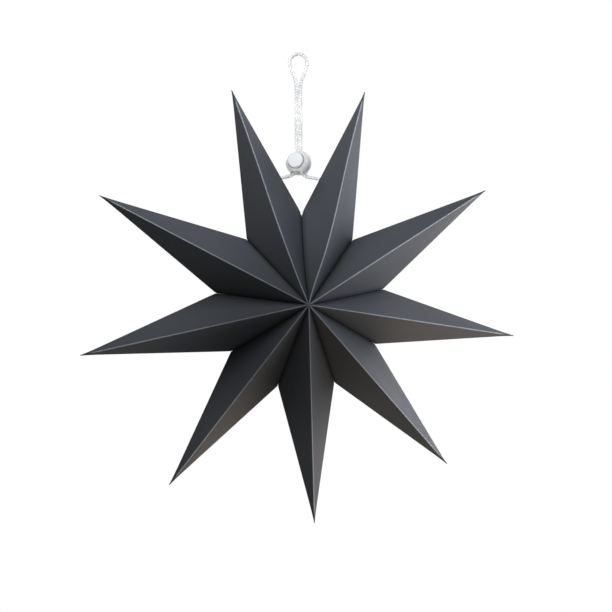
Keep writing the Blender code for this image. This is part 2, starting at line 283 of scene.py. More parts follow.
class Value:
    """A node's output, or a number, with arithmetic that adds Math nodes."""

    def __init__(self, tree, source):
        self.tree = tree
        self.source = source

    def maths(self, operation, *others):
        inputs = dict(enumerate((self, *others)))
        return self.tree.add("ShaderNodeMath", {"operation": operation}, inputs)

    def __add__(self, other):
        return self.maths("ADD", other)

    def __radd__(self, other):
        return self.maths("ADD", other)

    def __mul__(self, other):
        return self.maths("MULTIPLY", other)

    def __rmul__(self, other):
        return self.maths("MULTIPLY", other)

    def __sub__(self, other):
        return self.maths("SUBTRACT", other)

    def __rsub__(self, other):
        return Value(self.tree, other).maths("SUBTRACT", self)

    def __truediv__(self, other):
        return self.maths("DIVIDE", other)


class NodeTree:
    """A node tree, and the one method that adds its nodes."""

    def __init__(self, tree):
        self.nodes = tree.nodes
        self.links = tree.links

    def add(self, kind, settings=None, inputs=None, output=0):
        node = self.nodes.new(kind)
        for name, setting in (settings or {}).items():
            setattr(node, name, setting)
        for name, item in (inputs or {}).items():
            self.feed(node.inputs[name], item)
        return Value(self, node.outputs[output])

    def feed(self, socket, item):
        source = item.source if isinstance(item, Value) else item
        if isinstance(source, bpy.types.NodeSocket):
            self.links.new(source, socket)
        else:
            socket.default_value = source


class Shader(NodeTree):
    """A material's node tree."""

    def __init__(self, name):
        self.material = bpy.data.materials.new(name)
        self.material.use_nodes = True
        super().__init__(self.material.node_tree)
        self.surface = self.nodes["Principled BSDF"]

    def place(self):
        return self.add("ShaderNodeTexCoord", output="Object")

    def noise(self, place, scale, detail=2.0, roughness=0.5):
        inputs = {"Vector": place, "Scale": scale, "Detail": detail, "Roughness": roughness}
        return self.add("ShaderNodeTexNoise", None, inputs)

    def stretched(self, place, scale):
        return self.add("ShaderNodeMapping", None, {"Vector": place, "Scale": scale})

    def attribute(self, name):
        return self.add("ShaderNodeAttribute", {"attribute_name": name}, output="Fac")

    def band(self, value, near, far):
        """1 up to near, falling smoothly to 0 at far."""
        settings = {"interpolation_type": "SMOOTHSTEP"}
        inputs = {"Value": value, "From Min": near, "From Max": far, "To Min": 1.0, "To Max": 0.0}
        return self.add("ShaderNodeMapRange", settings, inputs)

    def mix(self, factor, first, second):
        """A mix of two colours. Its sockets go by number, because their names repeat."""
        inputs = {0: factor, 6: first, 7: second}
        return self.add("ShaderNodeMix", {"data_type": "RGBA"}, inputs, output=2)

    def bump(self, height, distance, strength):
        inputs = {"Height": height, "Distance": distance, "Strength": strength}
        return self.add("ShaderNodeBump", None, inputs)

    def finish(self, **inputs):
        for name, item in inputs.items():
            self.feed(self.surface.inputs[name.replace("_", " ")], item)
        return self.material


def rgba(colour, gain=1.0):
    return (*[channel * gain for channel in colour], 1.0)


def paper_material(settings):
    """Matte dyed paper: a faint mottle and short fibres, painted shade in the middle, beside the
    valleys and along the side folds, and ridge lines lighter from wear and a painted highlight.
    """
    shader = Shader("charcoal_paper")
    place = shader.place()
    mottle = shader.noise(place, 26.0, 3.0)
    grain = shader.noise(place, 900.0, 3.0, 0.6)
    fibres = shader.noise(shader.stretched(place, (420.0, 420.0, 1600.0)), 1.0, 2.0, 0.7)
    sheet = shader.mix(mottle, rgba(settings.colour, 0.90), rgba(settings.colour, 1.10))
    sheet = shader.mix(fibres * 0.35, sheet, rgba(settings.colour, 1.45))
    wear = shader.noise(place, 160.0, 3.0, 0.6)
    # Painted shade: the paper darkens round the place in the star's plane that the light reaches
    # least
    painted_middle_shade = shader.band(shader.attribute("to_painted_shade_place"), 0.020, 0.090) * 0.6
    sheet = shader.mix(painted_middle_shade, sheet, rgba(settings.colour, 0.35))
    to_wall = shader.attribute("to_wall")
    # Painted shade beside each wall fold, where the neighbouring points shade the paper
    painted_valley_shade = shader.band(to_wall, 0.0, 0.0042) * 0.5
    sheet = shader.mix(painted_valley_shade, sheet, rgba(settings.colour, 0.25))
    # Painted shade along each side fold, where the paper turns away from the light
    painted_side_shade = shader.band(shader.attribute("to_side"), 0.00020, 0.00085) * 0.85
    sheet = shader.mix(painted_side_shade, sheet, rgba(settings.colour, 0.32))
    # A narrow line of painted shade in each wall fold's crease
    painted_crease_shade = shader.band(to_wall, 0.00010, 0.00060) * 0.7
    sheet = shader.mix(painted_crease_shade, sheet, rgba(settings.colour, 0.25))
    # The ridge line is lighter partly from real wear and partly as a painted highlight, and is
    # dimmed where the middle's painted shade falls
    ridge = shader.band(shader.attribute("to_ridge"), 0.00030, 0.00070) * (wear * 0.5 + 0.6)
    off_tip = 1.0 - shader.band(shader.attribute("to_tip"), 0.0050, 0.0120)
    rubbed_and_highlit = ridge * off_tip * (1.0 - painted_middle_shade)
    sheet = shader.mix(rubbed_and_highlit, sheet, rgba(settings.fold_wear_and_highlight_colour))
    bump = shader.bump(grain, 0.00006, 0.55)
    return shader.finish(
        Base_Color=sheet, Roughness=grain * 0.12 + 0.44, Normal=bump, Specular_IOR_Level=0.03)


def cord_material(settings):
    """White spun yarn with fine filaments, and painted shade where a yarn dips under the others."""
    shader = Shader("white_cord")
    place = shader.place()
    filaments = shader.noise(place, 2600.0, 3.0, 0.6)
    outer = settings.diameter / 2
    # Painted shade on the yarns where they dip under their partners, and on the core
    painted_dip_shade = shader.band(shader.attribute("reach"), outer - 2.0 * settings.wave, outer)
    yarn = shader.mix(filaments, rgba(settings.colour, 0.96), rgba(settings.colour, 1.03))
    yarn = shader.mix(painted_dip_shade, yarn, rgba(settings.colour, 0.62))
    bump = shader.bump(filaments, 0.00004, 0.6)
    return shader.finish(
        Base_Color=yarn, Roughness=filaments * 0.2 + 0.62, Normal=bump, Sheen_Weight=0.25)


def plastic_material(settings):
    """Moulded white plastic with a slightly uneven polish."""
    shader = Shader("white_plastic")
    place = shader.place()
    cloud = shader.noise(place, 180.0, 2.0)
    skin = shader.noise(place, 1500.0, 3.0, 0.55)
    body = shader.mix(cloud, rgba(settings.colour, 0.97), rgba(settings.colour, 1.02))
    bump = shader.bump(skin, 0.00001, 0.5)
    return shader.finish(Base_Color=body, Roughness=cloud * 0.12 + 0.26, Normal=bump)


def steel_material():
    """Bright drawn spring wire."""
    shader = Shader("spring_steel")
    place = shader.place()
    drawn = shader.noise(shader.stretched(place, (3000.0, 300.0, 3000.0)), 1.0, 2.0)
    tone = shader.mix(drawn, (0.50, 0.51, 0.53, 1.0), (0.60, 0.61, 0.63, 1.0))
    return shader.finish(Base_Color=tone, Roughness=drawn * 0.2 + 0.22, Metallic=1.0)


# Mesh helpers

LEAST_ROUNDED_CORNER = math.radians(8.0)
SHARP_ANGLE = math.radians(38.0)


def piece_from_bmesh(name, mesh_data, material):
    mesh = bpy.data.meshes.new(name)
    mesh_data.to_mesh(mesh)
    mesh_data.free()
    mesh.materials.append(material)
    mesh.shade_smooth()
    piece = bpy.data.objects.new(name, mesh)
    bpy.context.scene.collection.objects.link(piece)
    return piece


def evaluated_mesh(piece):
    """The plain mesh that the piece's modifiers make."""
    bpy.context.view_layer.update()
    depsgraph = bpy.context.evaluated_depsgraph_get()
    return bpy.data.meshes.new_from_object(piece.evaluated_get(depsgraph))


def baked(piece):
    """The piece with its modifiers and place applied to its mesh. A curve becomes a mesh piece."""
    mesh = evaluated_mesh(piece)
    mesh.transform(piece.matrix_world)
    if piece.type == "MESH":
        piece.modifiers.clear()
        piece.data = mesh
        piece.matrix_world = Matrix.Identity(4)
        return piece
    name = piece.name
    bpy.data.objects.remove(piece, do_unlink=True)
    solid = bpy.data.objects.new(name, mesh)
    bpy.context.scene.collection.objects.link(solid)
    return solid


def cut(target, cutter):
    boolean = target.modifiers.new("cut", "BOOLEAN")
    boolean.operation = "DIFFERENCE"
    boolean.solver = "EXACT"
    boolean.object = cutter
    solid = baked(target)
    bpy.data.objects.remove(cutter, do_unlink=True)
    return solid


def turned(name, profile, steps, material):
    """A solid turned about Z from a (radius, height) profile that runs from top to bottom."""
    mesh = bpy.data.meshes.new(name)
    edges = [(index, index + 1) for index in range(len(profile) - 1)]
    mesh.from_pydata([(radius, 0.0, height) for radius, height in profile], edges, [])
    mesh.materials.append(material)
    piece = bpy.data.objects.new(name, mesh)
    bpy.context.scene.collection.objects.link(piece)
    screw = piece.modifiers.new("turn", "SCREW")
    screw.steps = steps
    screw.render_steps = steps
    screw.use_merge_vertices = True
    screw.merge_threshold = 0.00001
    screw.use_smooth_shade = True
    return piece


def rounded(profile, radius, segments=5):
    """A profile with an arc of the radius at each inner corner, or less where a side is short."""
    points = [Vector(point) for point in profile]
    result = [points[0]]
    for before, corner, after in zip(points, points[1:], points[2:]):
        to_before = (before - corner).normalized()
        to_after = (after - corner).normalized()
        straight = math.pi / 2 - to_before.angle(to_after) / 2
        if straight < LEAST_ROUNDED_CORNER:
            result.append(corner)
            continue
        shortest = min((before - corner).length, (after - corner).length)
        reach = min(radius * math.tan(straight), 0.45 * shortest)
        start, end = corner + to_before * reach, corner + to_after * reach
        for index in range(segments + 1):
            share = index / segments
            result.append(
                start * (1 - share) ** 2 + corner * 2 * share * (1 - share) + end * share ** 2)
    result.append(points[-1])
    return [tuple(point) for point in result]


# Paper points
# Of each pair of facets, valleys or walls, the left one has the key 1 and the right one -1.

FRONT_TO_BACK = np.array((1.0, -1.0, 1.0))
IN_PLANE = np.array((1.0, 0.0, 1.0))
BAND_STEPS = np.array((0.0, 0.35, 0.75, 1.2, 2.0))
TIP_FADE_SHARE = 0.2
BELLY_FADE_SHARE = 0.12
CORNER_DEPTH_SHARE = 0.4
CORNER_DROP_SHARE = 0.5


def polar(radius, angle):
    """A place in the star's plane, the angle counted from straight up towards the left."""
    return np.array((-radius * math.sin(angle), 0.0, radius * math.cos(angle)))


def valley_place(settings, number):
    index = number % POINT_COUNT
    angle = STAR_ROLL + (number + WALL_TURN_SHARES[index]) * PITCH
    return polar(settings.valley_radius * VALLEY_REACH_SHARES[index], angle)


def tip_place(settings, number):
    turn = TIP_TURN_SHARES[number - 1]
    radius = settings.tip_radius * TIP_REACH_SHARES[number - 1]
    return polar(radius, STAR_ROLL + (number - 0.5 + turn) * PITCH)


def unit(vector):
    return vector / np.linalg.norm(vector)


def plane_through(corners, inset, inside):
    normal = unit(np.cross(corners[1] - corners[0], corners[2] - corners[0]))
    if np.dot(normal, inside - corners[0]) < 0:
        normal = -normal
    return normal, np.dot(normal, corners[0]) + inset


def meet(*planes):
    return np.linalg.solve([normal for normal, _ in planes], [distance for _, distance in planes])


class PointForm:
    """The corners and inward facet normals of one paper point, with its walls set in for glue."""

    def __init__(self, settings, number):
        front = np.array((0.0, -settings.half_depth, 0.0))
        back = -front
        left = valley_place(settings, number)
        right = valley_place(settings, number - 1)
        end = tip_place(settings, number)
        inside = (left + right) / 2
        gap = GLUE_GAP / 2
        left_wall = plane_through((front, left, back), gap, inside)
        right_wall = plane_through((front, right, back), gap, inside)
        front_left = plane_through((front, left, end), 0.0, inside)
        front_right = plane_through((front, right, end), 0.0, inside)
        self.front = meet(left_wall, right_wall, front_left)
        self.valleys = {
            1: meet(left_wall, front_left, mirrored_plane(front_left)),
            -1: meet(right_wall, front_right, mirrored_plane(front_right)),
        }
        self.tip = end
        self.walls = {1: left_wall[0], -1: right_wall[0]}
        self.facets = {1: front_left[0], -1: front_right[0]}
        self.number = number


def mirrored_plane(plane):
    """The back plane that mirrors a front one."""
    normal, distance = plane
    return normal * FRONT_TO_BACK, distance


def shares_with_bands(length, band, count):
    """Shares from 0 to 1 of a length, closer together within a fold's band at both ends."""
    steps = band * BAND_STEPS
    steps = steps * min(1.0, 0.40 * length / steps[-1])
    middle = np.linspace(steps[-1], length - steps[-1], count)[1:-1]
    return np.concatenate((steps, middle, length - steps[::-1])) / length


def places_between(start, end, band, count):
    """Places from start to end, as many where the two are the same, to be merged later."""
    span = np.linalg.norm(end - start)
    if span < 1e-6:
        shares = np.linspace(0.0, 1.0, count + 2 * len(BAND_STEPS) - 2)
    else:
        shares = shares_with_bands(span, band, count)
    return [start + (end - start) * share for share in shares]


def point_sheet(settings, number):
    """The outer skin of one paper point as a closed mesh, in the star's own frame."""
    form = PointForm(settings, number)
    band = settings.fold_band
    ridge_length = np.linalg.norm(form.tip - form.front)
    along = shares_with_bands(ridge_length, band, settings.rows)
    mesh_data = bmesh.new()
    front_grid = []
    for share in along:
        ridge = form.front + (form.tip - form.front) * share
        left, right = (
            places_between(
                ridge, form.valleys[side] + (form.tip - form.valleys[side]) * share, band,
                settings.columns)
            for side in (1, -1))
        front_grid.append(left[::-1] + right[1:])
    front_grid = np.array(front_grid)
    add_grid(mesh_data, front_grid)
    add_grid(mesh_data, front_grid * FRONT_TO_BACK)
    base = front_grid[0]
    middle = len(base) // 2
    for columns in (base[:middle + 1], base[middle:]):
        add_grid(mesh_data, [
            places_between(place, place * FRONT_TO_BACK, band, settings.columns)
            for place in columns])
    bmesh.ops.remove_doubles(mesh_data, verts=mesh_data.verts, dist=0.000004)
    bmesh.ops.dissolve_degenerate(mesh_data, edges=mesh_data.edges, dist=0.000002)
    bmesh.ops.recalc_face_normals(mesh_data, faces=mesh_data.faces)
    return mesh_data, form


def add_grid(mesh_data, grid):
    """Quads over a grid of places."""
    verts = [[mesh_data.verts.new(place) for place in row] for row in grid]
    for row, next_row in zip(verts, verts[1:]):
        for index in range(len(row) - 1):
            mesh_data.faces.new((row[index], row[index + 1], next_row[index + 1], next_row[index]))


def line_distance(places, start, end):
    direction = unit(end - start)
    offset = places - start
    return np.linalg.norm(offset - np.outer(offset @ direction, direction), axis=1)


def in_front(places):
    """The places, those of the back half mirrored to the front."""
    return np.column_stack((places[:, 0], -np.abs(places[:, 1]), places[:, 2]))


def fold_distances(places, form):
    """Each place's distance to the ridge, to the nearer side fold and to the nearer wall fold."""
    front = in_front(places)
    ridge = line_distance(front, form.front, form.tip)
    sides = [line_distance(front, form.valleys[side], form.tip) for side in (1, -1)]
    walls = [line_distance(front, form.front, form.valleys[side]) for side in (1, -1)]
    return ridge, np.minimum(*sides), np.minimum(*walls)


def leftwards(form):
    """The direction in the star's plane that a point's left side lies in."""
    radial = unit(form.tip)
    return np.array((-radial[2], 0.0, radial[0]))


def smooth_fall(distance):
    """1 at no distance, falling smoothly to 0 at 1."""
    return np.clip(1.0 - distance ** 2, 0.0, 1.0) ** 2


def round_folds(places, form, settings):
    """Takes the edges of the folds in a little, as bent paper has no sharp edge."""
    front = in_front(places)
    turn = np.where((places[:, 1] <= 0.0)[:, None], 1.0, FRONT_TO_BACK)

    def drop(distance):
        fall = np.clip(1.0 - distance / settings.fold_band, 0.0, 1.0) ** 2
        return settings.fold_drop * fall[:, None]

    ridge = line_distance(front, form.front, form.tip)
    moved = drop(ridge) * unit(form.facets[1] + form.facets[-1]) * turn
    for side in (1, -1):
        near_side = line_distance(front, form.valleys[side], form.tip)
        moved = moved + drop(near_side) * unit(form.facets[side] * IN_PLANE)
        near_wall = line_distance(front, form.front, form.valleys[side])
        moved = moved + drop(near_wall) * unit(form.facets[side] + form.walls[side]) * turn
    return moved


def belly_facets(places, form, settings):
    """Each facet's slight bulge out of flat, none at its folds."""
    ridge, side, wall = fold_distances(places, form)
    on_left = places @ leftwards(form) >= 0.0
    front = np.where(places[:, 1] <= 0.0, 1.0, -1.0)
    inwards = np.where(on_left[:, None], form.facets[1], form.facets[-1])
    inwards[:, 1] *= front
    belly = np.minimum(np.minimum(ridge, side), wall) / (BELLY_FADE_SHARE * settings.tip_radius)
    belly = np.clip(belly, 0.0, 1.0)
    belly = belly * belly * (3 - 2 * belly)
    along = np.clip(places @ unit(form.tip) / settings.tip_radius, 0.0, 1.0)
    # Each facet's wave starts elsewhere, so that no two are bent alike
    phase = 2.1 * form.number + np.where(on_left, 1.3, -1.3) + 0.7 * front
    amount = settings.warp * belly * np.sin(phase + 5.0 * along) * (wall > settings.fold_band)
    return -amount[:, None] * inwards


def blunt_tip(places, form, settings):
    """Widens the last of a point, where the real folds can't meet in nothing, and rounds it."""
    radial = unit(form.tip)
    offset = places - form.tip
    depth = np.maximum(-(offset @ radial), 1e-6)
    lateral = offset - (offset @ radial)[:, None] * radial
    fade = np.clip(1.0 - depth / (TIP_FADE_SHARE * settings.tip_radius), 0.0, 1.0)
    share = np.clip(depth / settings.tip_rounding, 0.0, 1.0)
    widened = np.sqrt(depth ** 2 + (settings.tip_bluntness * fade) ** 2) / depth
    rounded_off = widened * np.sqrt(2 * share - share ** 2)
    return lateral * (rounded_off - 1.0)[:, None]


def bow_ridge(places, form, settings):
    """The ridges beside the opening bow away from it, most at a third of their length."""
    bows = {1: settings.left_ridge_bow, POINT_COUNT: -settings.right_ridge_bow}
    if form.number not in bows:
        return np.zeros_like(places)
    ridge, side, wall = fold_distances(places, form)
    share = np.clip(places @ unit(form.tip) / settings.tip_radius, 0.0, 1.0)
    most = 4 / 27
    profile = (share * (1.0 - share) ** 2 / most) ** 2
    others = np.minimum(side, wall)
    near_ridge = others / np.maximum(ridge + others, 1e-9)
    return (bows[form.number] * profile * near_ridge)[:, None] * leftwards(form)


def bow_closing_line(places, form, settings):
    """The unglued walls at the opening lie together on a line that bows a little to the left."""
    if form.number not in (1, POINT_COUNT):
        return np.zeros_like(places)
    side = -1 if form.number == 1 else 1
    line = form.valleys[side] - form.front
    share = np.clip((places - form.front) @ line / (line @ line), 0.0, 1.0)
    near = line_distance(in_front(places), form.front, form.valleys[side]) / settings.bow_reach
    on_wall = np.abs(places @ form.walls[side]) < settings.thickness
    bow = settings.closing_bow * np.sin(math.pi * share)
    amount = bow * smooth_fall(np.where(on_wall, 0.0, near))
    return -side * amount[:, None] * form.walls[side]


def bend_closing_corner(places, form, settings):
    """The unglued corners at the opening bend in and away from each other."""
    if form.number not in (1, POINT_COUNT):
        return np.zeros_like(places)
    side = -1 if form.number == 1 else 1
    corner = form.valleys[side]
    shift = settings.closing_gap * (form.walls[side] - CORNER_DROP_SHARE * unit(corner))
    offset = (places - corner) * (1.0, CORNER_DEPTH_SHARE, 1.0)
    near = np.linalg.norm(offset, axis=1) / settings.closing_reach
    return smooth_fall(near)[:, None] * shift


def shape_paper(places, form, settings):
    """The flat, sharp form's places moved to those of bent paper."""
    moves = (round_folds, belly_facets, bow_ridge, bow_closing_line, bend_closing_corner, blunt_tip)
    return places + sum(move(places, form, settings) for move in moves)


def punch_cord_hole(mesh_data, settings, number, radius, material):
    """Cuts the cord's hole close behind the closing fold and clears what the cut leaves inside."""
    wall, share = (0, LEFT_HOLE_SHARE) if number == 1 else (POINT_COUNT, RIGHT_HOLE_SHARE)
    start, end = valley_place(settings, wall), tip_place(settings, number)
    centre = Vector(start + share * (end - start)) + Vector((0.0, HOLE_BACK, 0.0))
    sheet = piece_from_bmesh("sheet", mesh_data, material)
    cutter_data = bmesh.new()
    bmesh.ops.create_cone(
        cutter_data, cap_ends=True, segments=32, radius1=radius, radius2=radius,
        depth=HOLE_CUT_LENGTH,
        matrix=Matrix.Translation(centre) @ Matrix.Rotation(math.pi / 2, 4, "Y"))
    cutter = piece_from_bmesh("hole", cutter_data, material)
    sheet = cut(sheet, cutter)
    opened = bmesh.new()
    opened.from_mesh(sheet.data)
    bpy.data.objects.remove(sheet, do_unlink=True)
    inside = []
    for face in opened.faces:
        offset = face.calc_center_median() - centre
        if math.hypot(offset.y, offset.z) < radius * 1.001 and abs(offset.x) < HOLE_CUT_LENGTH:
            inside.append(face)
    bmesh.ops.delete(opened, geom=inside, context="FACES")
    return opened


def paper_point(settings, number, cord_diameter, material):
    """One point's bent sheet, with the distances that its material reads."""
    mesh_data, form = point_sheet(settings, number)
    if number in (1, POINT_COUNT):
        radius = cord_diameter / 2 + HOLE_CLEARANCE
        mesh_data = punch_cord_hole(mesh_data, settings, number, radius, material)
    places = np.array([vert.co for vert in mesh_data.verts])
    for vert, place in zip(mesh_data.verts, shape_paper(places, form, settings)):
        vert.co = Vector(place) + STAR_CENTRE
    piece = piece_from_bmesh("paper_point_" + str(number), mesh_data, material)
    ridge, side, wall = fold_distances(places, form)
    apex = np.linalg.norm(np.abs(places) - np.abs(form.front), axis=1)
    # The material paints shade by to_wall, to_side and the distance to the shade place, and a ridge
    # line by to_ridge
    distances = {
        "to_ridge": ridge,
        "to_side": side,
        # Round the apex the wall distance is lengthened, so the painted valley shade eases off
        # there
        "to_wall": wall + np.clip(APEX_REACH - apex, 0.0, None),
        "to_tip": np.linalg.norm(places - form.tip, axis=1),
        "to_painted_shade_place": np.linalg.norm((places - PAINTED_SHADE_PLACE) * IN_PLANE, axis=1),
    }
    for name, values in distances.items():
        attribute = piece.data.attributes.new(name, "FLOAT", "POINT")
        attribute.data.foreach_set("value", values.astype(np.float32))
    solidify = piece.modifiers.new("paper", "SOLIDIFY")
    solidify.thickness = settings.thickness
    solidify.offset = -1.0
    solidify.use_even_offset = False
    return baked(piece)


# Cord

# From one yarn of a bundle to the next, in yarn radii, and the core's step, in steps of a yarn
YARN_SPACING = 1.9
CORE_STEPS = 3

# The knots' steps, and their sizes in cord diameters
KNOT_STEPS = 72
KNOT_OFFSET = 1.28
KNOT_WIDTH = 1.05 / 3.4
KNOT_LENGTH = 0.56


def smooth_route(points, step):
    """Places at about one step apart on a smooth curve through the route's own points."""
    route = np.array(points)
    padded = np.vstack([2 * route[0] - route[1], route, 2 * route[-1] - route[-2]])
    places = []
    for before, start, end, after in zip(padded, padded[1:], padded[2:], padded[3:]):
        count = max(1, round(float(np.linalg.norm(end - start)) / step))
        for share in np.arange(count) / count:
            places.append(
                0.5 * (
                    2 * start + (end - before) * share
                    + (2 * before - 5 * start + 4 * end - after) * share ** 2
                    + (3 * start - before - 3 * end + after) * share ** 3
                )
            )
    places.append(route[-1])
    return places


def path_curve(name, places, cyclic=False):
    curve = bpy.data.curves.new(name, "CURVE")
    curve.dimensions = "3D"
    spline = curve.splines.new("POLY")
    spline.points.add(len(places) - 1)
    for target, place in zip(spline.points, places):
        target.co = (*place, 1.0)
    spline.use_cyclic_u = cyclic
    created = bpy.data.objects.new(name, curve)
    bpy.context.scene.collection.objects.link(created)
    return created


def braid_tree():
    """Sweeps one yarn round a path: it turns with a lay and weaves over and under its partners."""
    group = bpy.data.node_groups.new("braided yarn", "GeometryNodeTree")
    group.interface.new_socket("Geometry", in_out="INPUT", socket_type="NodeSocketGeometry")
    for name in ("Hand", "Phase", "Lay", "Braid Radius", "Wave", "Yarn Radius", "Step", "Pairs"):
        group.interface.new_socket(name, in_out="INPUT", socket_type="NodeSocketFloat")
    group.interface.new_socket("Material", in_out="INPUT", socket_type="NodeSocketMaterial")
    group.interface.new_socket("Geometry", in_out="OUTPUT", socket_type="NodeSocketGeometry")
    tree = NodeTree(group)
    sockets = tree.nodes.new("NodeGroupInput").outputs
    given = {socket.name: Value(tree, socket) for socket in sockets}
    path = tree.add(
        "GeometryNodeResampleCurve", {"mode": "LENGTH"},
        {"Curve": given["Geometry"], "Length": given["Step"]})
    path = tree.add("GeometryNodeSetCurveNormal", {"mode": "MINIMUM_TWIST"}, {"Curve": path})
    length = tree.add("GeometryNodeSplineParameter", output="Length")
    turn = length / given["Lay"] * (2 * math.pi)
    angle = turn * given["Hand"] + given["Phase"]
    weave = (turn * given["Pairs"]).maths("COSINE") * given["Hand"] * given["Wave"]
    radius = given["Braid Radius"] + weave
    normal = tree.add("GeometryNodeInputNormal")
    tangent = tree.add("GeometryNodeInputTangent")
    side = tree.add(
        "ShaderNodeVectorMath", {"operation": "CROSS_PRODUCT"}, {0: tangent, 1: normal})
    out, up = (
        tree.add("ShaderNodeVectorMath", {"operation": "SCALE"}, {
            "Vector": direction, "Scale": angle.maths(part) * radius})
        for direction, part in ((normal, "COSINE"), (side, "SINE")))
    offset = tree.add("ShaderNodeVectorMath", {"operation": "ADD"}, {0: out, 1: up})
    yarn = tree.add("GeometryNodeSetPosition", None, {"Geometry": path, "Offset": offset})
    yarn = tree.add(
        "GeometryNodeStoreNamedAttribute", {"domain": "POINT"},
        {"Geometry": yarn, "Name": "reach", "Value": radius + given["Yarn Radius"]})
    section = tree.add(
        "GeometryNodeCurvePrimitiveCircle", None,
        {"Resolution": 6, "Radius": given["Yarn Radius"]})
    swept = tree.add(
        "GeometryNodeCurveToMesh", None,
        {"Curve": yarn, "Profile Curve": section, "Fill Caps": True})
    smooth = tree.add("GeometryNodeSetShadeSmooth", None, {"Geometry": swept})
    painted = tree.add(
        "GeometryNodeSetMaterial", None, {"Geometry": smooth, "Material": given["Material"]})
    plain = tree.add("GeometryNodeRealizeInstances", None, {"Geometry": painted})
    tree.feed(tree.nodes.new("NodeGroupOutput").inputs["Geometry"], plain)
    return group


def run_tree(tree, path, values):
    """The plain mesh that the tree makes of the path with these named input values."""
    modifier = path.modifiers.new("tree", "NODES")
    modifier.node_group = tree
    for item in tree.interface.items_tree:
        if item.in_out == "INPUT" and item.name in values:
            modifier[item.identifier] = values[item.name]
    mesh = evaluated_mesh(path)
    path.modifiers.remove(modifier)
    return mesh


def braided(name, places, settings, material, cyclic=False):
    """A round braid along the places: yarns that turn both ways over a plain core."""
    tree = braid_tree()
    path = path_curve(name + "_path", places, cyclic)
    braid_radius = settings.diameter / 2 - settings.yarn_radius - settings.wave
    values = {
        "Lay": settings.lay, "Step": settings.step, "Pairs": float(settings.yarn_pairs),
        "Material": material,
    }
    core = (1.0, 0.0, 0.0, 0.0, braid_radius, settings.step * CORE_STEPS)
    yarns = [core]
    spread = YARN_SPACING * settings.yarn_radius / braid_radius
    for index in range(settings.yarn_pairs):
        for beside in (-spread, 0.0, spread):
            phase = 2 * math.pi * index / settings.yarn_pairs + beside
            for hand in (1.0, -1.0):
                yarns.append((
                    hand, phase, braid_radius, settings.wave, settings.yarn_radius,
                    settings.step))
    joined = bmesh.new()
    for hand, phase, radius, wave, yarn_radius, step in yarns:
        values.update({
            "Hand": hand, "Phase": phase, "Braid Radius": radius, "Wave": wave,
            "Yarn Radius": yarn_radius, "Step": step,
        })
        mesh = run_tree(tree, path, values)
        joined.from_mesh(mesh)
        bpy.data.meshes.remove(mesh)
    bpy.data.objects.remove(path, do_unlink=True)
    bmesh.ops.recalc_face_normals(joined, faces=joined.faces)
    return piece_from_bmesh(name, joined, material)


def overhand_knot(end, before_end, settings):
    """Places along a small overhand knot that sits in line with the cord's end."""
    direction = (Vector(end) - Vector(before_end)).normalized()
    turn = direction.to_track_quat("Z", "Y").to_matrix()
    centre = Vector(end) + direction * settings.diameter * KNOT_OFFSET
    across = settings.diameter * KNOT_WIDTH
    along = settings.diameter * KNOT_LENGTH
    places = []
    for index in range(KNOT_STEPS):
        angle = 2 * math.pi * index / KNOT_STEPS
        local = Vector((
            (math.sin(angle) + 2 * math.sin(2 * angle)) * across,
            (math.cos(angle) - 2 * math.cos(2 * angle)) * across,
            -math.sin(3 * angle) * along,
        ))
        places.append(centre + turn @ local)
    return places


# Cord lock

def lock_place():
    return (
        Matrix.Translation((0.0, 0.0, LOCK_Z))
        @ Matrix.Rotation(-LOCK_TURN, 4, "Z")
        @ Matrix.Rotation(-LOCK_TILT, 4, "X")
    )


def along_bore(front):
    shift = Matrix.Translation((0.0, front, 0.0))
    return lock_place() @ shift @ Matrix.Rotation(math.pi / 2, 4, "X")


def cord_reach(cord_diameter):
    """How far the two leaning strands and their clearance reach along the button's bore."""
    leaning = STEM_RADIUS * math.tan(LOCK_TILT)
    return cord_diameter / 2 + STRAND_OFFSET * math.sin(LOCK_TURN) + leaning + RUNNING_GAP


def bore_end():
    """How far the bore reaches behind the lock's middle."""
    return math.sqrt((BALL_RADIUS - BACK_WALL) ** 2 - (STEM_RADIUS + RUNNING_GAP) ** 2)


def lock_ball(settings, material):
    """The ball with the cord's passage through it, flat below, and the button's bore."""
    top = math.asin(BALL_TOP / BALL_RADIUS)
    bottom = -math.asin(TAPER_TOP / BALL_RADIUS)
    angles = np.linspace(top, bottom, settings.steps // 2 + 1)
    arc = [(BALL_RADIUS * math.cos(angle), BALL_RADIUS * math.sin(angle)) for angle in angles]
    outline = [
        (PASSAGE_RADIUS, -BALL_BOTTOM + MOUTH_DEPTH), (PASSAGE_RADIUS, BALL_TOP),
        *arc, (TAPER_RADIUS, -BALL_BOTTOM), (MOUTH_RADIUS, -BALL_BOTTOM),
        (PASSAGE_RADIUS, -BALL_BOTTOM + MOUTH_DEPTH),
    ]
    profile = rounded(outline, settings.rim)
    profile[-1] = profile[0]
    ball = turned("cord_lock_ball", profile[:-1], settings.steps, material)
    ball.data.edges.add(1)
    ball.data.edges[-1].vertices = (len(ball.data.vertices) - 1, 0)
    ball.matrix_world = lock_place()
    ball = baked(ball)
    merged = bmesh.new()
    merged.from_mesh(ball.data)
    bmesh.ops.remove_doubles(merged, verts=merged.verts, dist=0.000005)
    bmesh.ops.recalc_face_normals(merged, faces=merged.faces)
    merged.to_mesh(ball.data)
    merged.free()
    return cut(ball, button_bore(settings, material))


